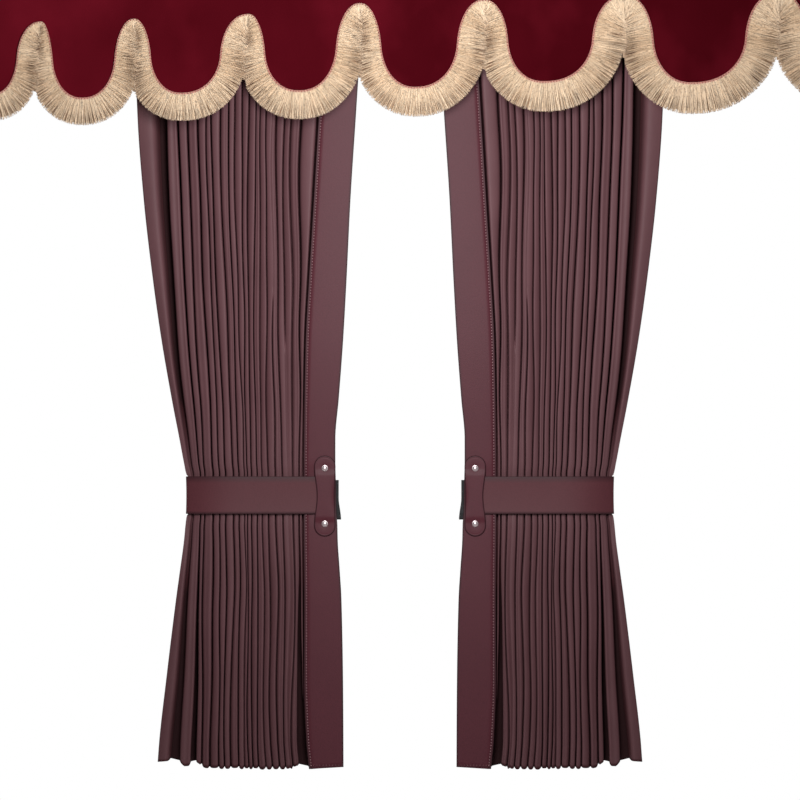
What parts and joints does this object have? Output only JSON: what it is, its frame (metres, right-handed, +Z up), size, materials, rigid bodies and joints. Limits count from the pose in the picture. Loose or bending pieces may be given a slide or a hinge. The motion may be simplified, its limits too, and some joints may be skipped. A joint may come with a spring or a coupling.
{
  "type": "truck cab curtain set",
  "caption": "Scalloped plush valance with a cut cream fringe over a mirrored pair of pleated side curtains with smooth edge bands, drawn in at the waist by tie belts.",
  "frame": {"origin": "middle of the valance's top edge where it is fixed, above the mirror plane of the two curtains", "axes": "+Z up, +X along the valance to the viewer's right, +Y away from the viewer, from the valance to the curtains"},
  "size_m": [1.3306, 0.06, 1.035],
  "materials": {
    "burgundy_plush": "short-pile plush",
    "cream_yarn": "cut yarn fringe",
    "mauve_cloth": "matt pleated cloth",
    "mauve_leatherette": "satin leatherette",
    "black_tape": "hook-and-loop tape",
    "nickel": "polished"
  },
  "bodies": {
    "root": {"valance_panel": "burgundy_plush", "valance_fringe": "cream_yarn", "left_cloth": "mauve_cloth", "left_edge_band": "mauve_leatherette", "left_tie_belt": "mauve_leatherette", "left_tie_closure": "black_tape", "left_keeper_tab": "mauve_leatherette", "left_stud_upper": "nickel", "left_stud_lower": "nickel", "right_cloth": "mauve_cloth", "right_edge_band": "mauve_leatherette", "right_tie_belt": "mauve_leatherette", "right_tie_closure": "black_tape", "right_keeper_tab": "mauve_leatherette", "right_stud_upper": "nickel", "right_stud_lower": "nickel"}
  },
  "joints": []
}
